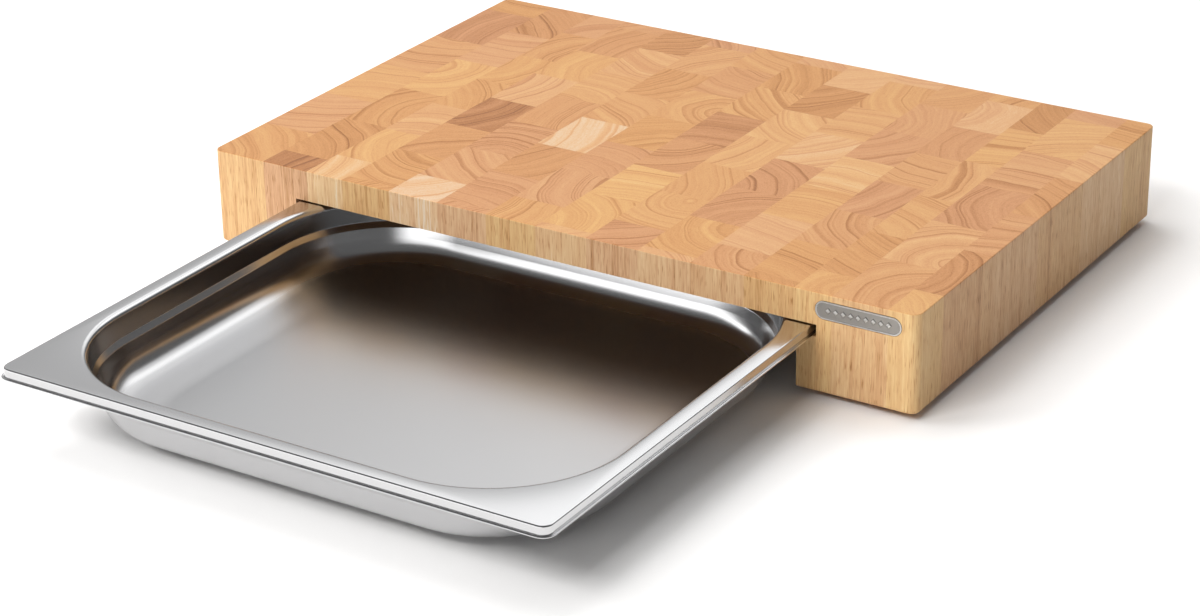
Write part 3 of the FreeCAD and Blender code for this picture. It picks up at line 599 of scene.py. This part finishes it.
def moulded_black_rubber():
    """Moulded rubber: nearly black, dull, with a fine orange-peel grain and pale dust marks."""
    rubber = new_material("moulded_black_rubber")
    place = add_node(rubber, "TexCoord").outputs["Object"]
    # Grain just under 0.5 mm wide, and dust marks about 4 mm wide
    grain = add_node(rubber, "TexNoise", {"Vector": place, "Scale": 2200.0, "Detail": 2.0})
    marks = add_node(rubber, "TexNoise", {"Vector": place, "Scale": 260.0, "Detail": 4.0})
    dust = add_node(rubber, "MapRange", {"Value": marks, "From Min": 0.5, "From Max": 0.75})
    colour = add_node(rubber, "Mix", {0: dust, 6: linear("#1D1C1B"), 7: linear("#34322F")},
                      data_type="RGBA")
    roughness = add_node(rubber, "MapRange", {"Value": dust, "To Min": 0.55, "To Max": 0.75})
    finish = add_node(rubber, "Bump", {"Height": grain, "Strength": 0.3, "Distance": 0.00006})
    surface = add_node(rubber, "BsdfPrincipled", {
        "Base Color": colour.outputs[2], "Roughness": roughness, "IOR": 1.52, "Normal": finish})
    add_node(rubber, "OutputMaterial", {"Surface": surface})
    return rubber


rubber = moulded_black_rubber()
for corner in FOOT_CORNERS:
    foot_points, foot_faces = moulded_foot(*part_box(f"foot_{corner}"))
    foot = new_piece(f"rubber_foot_{corner}", foot_points, foot_faces, rubber)
    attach(foot, "board")
    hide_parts(f"foot_{corner}")

# ------------------------------------------------------------------------------------------
# Foot screws: four pan-head wood screws of zinc-plated steel, cold headed with a cross recess,
# the thread rolled. Each is driven up through its foot's web into the board.
# ------------------------------------------------------------------------------------------
RECESS_WIDTH, RECESS_REACH, RECESS_DEPTH = 0.95, 1.8, 1.2  # arm width, axis to arm end, depth
RECESS_TAPER = 0.55  # the recess's size at its bottom, as a share of that at the head's face
# From the recess's edge over the head and up the plain shank: radius, height and bend radius
HEAD_SECTION = [(2.3, 1.1, 0), (3.2, 1.22, 1.2), (3.5, 2.4, 0.6), (3.4, 2.9, 0.15),
                (1.7, 2.9, 0.15), (1.7, 4.6, 0)]
THREAD_PITCH, THREAD_CORE, THREAD_CREST = 1.6, 1.15, 1.74  # the last two are radii
THREAD_START, THREAD_TOP, THREAD_TAPER = 4.7, 18.5, 4.0  # heights, and the tip's length


def headed_screw():
    """A screw about the z axis, its head down.

    The recess is the cross's outline, the lesser of arm end / cosine and arm side / sine of
    the angle from the nearest arm, shrunk towards its bottom. The thread's radius is a
    triangle wave of height / pitch less turn / full circle, flat between its crests. It
    rises from the shank over one pitch, and shrinks to the tip. All lengths are in mm."""
    edge = math.atan2(RECESS_WIDTH / 2, RECESS_REACH)
    quadrant = np.concatenate([np.linspace(-edge, edge, 5),
                               np.linspace(edge, math.pi / 2 - edge, 8)[1:-1]])
    turn = (quadrant + np.arange(4)[:, None] * math.pi / 2).ravel()
    circle = np.stack([np.cos(turn), np.sin(turn)], axis=1)
    from_arm = np.abs((turn + math.pi / 4) % (math.pi / 2) - math.pi / 4)
    cross = np.minimum(RECESS_REACH / np.cos(from_arm),
                       RECESS_WIDTH / 2 / np.maximum(np.sin(from_arm), 1e-6))
    head = bent_line(HEAD_SECTION, steps=6)
    share = np.array([RECESS_TAPER, RECESS_TAPER + 0.04, 0.97, 1.0, 1.06])
    depth = np.array([RECESS_DEPTH, RECESS_DEPTH - 0.06, 0.08, 0.0, 0.0])
    height = np.linspace(THREAD_START, THREAD_TOP, 84)
    wave = np.abs(2 * ((height[:, None] / THREAD_PITCH - turn / (2 * math.pi)) % 1) - 1)
    rise = np.clip((height[:, None] - THREAD_START) / THREAD_PITCH, 0, 1)
    crest = np.clip(wave * 1.6 - 0.6, 0, 1) * rise
    taper = np.clip((THREAD_TOP - height[:, None]) / THREAD_TAPER, 0.03, 1)
    thread = (THREAD_CORE + (THREAD_CREST - THREAD_CORE) * crest) * taper
    above = np.repeat(head[:, :1], len(turn), axis=1)
    radius = np.concatenate([share[:, None] * cross, above, thread])
    level = np.concatenate([head[0, 1] + depth, head[:, 1], height])
    rings = radius[..., None] * circle
    return np.concatenate([rings, np.repeat(level[:, None, None], len(turn), axis=1)], axis=2)


def zinc_plated_steel():
    """Steel, cold headed, rolled and bright zinc plated: half bright, a little uneven."""
    steel = new_material("zinc_plated_steel")
    place = add_node(steel, "TexCoord").outputs["Object"]
    # Marks of the plating, 0.7 mm wide
    marks = add_node(steel, "TexNoise", {"Vector": place, "Scale": 1500.0, "Detail": 3.0})
    roughness = add_node(steel, "MapRange", {"Value": marks, "To Min": 0.2, "To Max": 0.42})
    finish = add_node(steel, "Bump", {"Height": marks, "Strength": 0.15, "Distance": 0.00003})
    surface = add_node(steel, "BsdfPrincipled", {
        "Base Color": linear("#BDB9B3"), "Metallic": 1.0, "Roughness": roughness, "Normal": finish})
    add_node(steel, "OutputMaterial", {"Surface": surface})
    return steel


shells = []
for corner in FOOT_CORNERS:
    (x, y, _), _ = middle_and_half(*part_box(f"foot_{corner}"))
    shells.append(capped(headed_screw() + [x, y, 0]))
screw_points, screw_faces = joined(shells)
screws = new_piece("pan_head_screws", screw_points / 1000, screw_faces, zinc_plated_steel())
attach(screws, "board")
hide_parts("foot_screws")
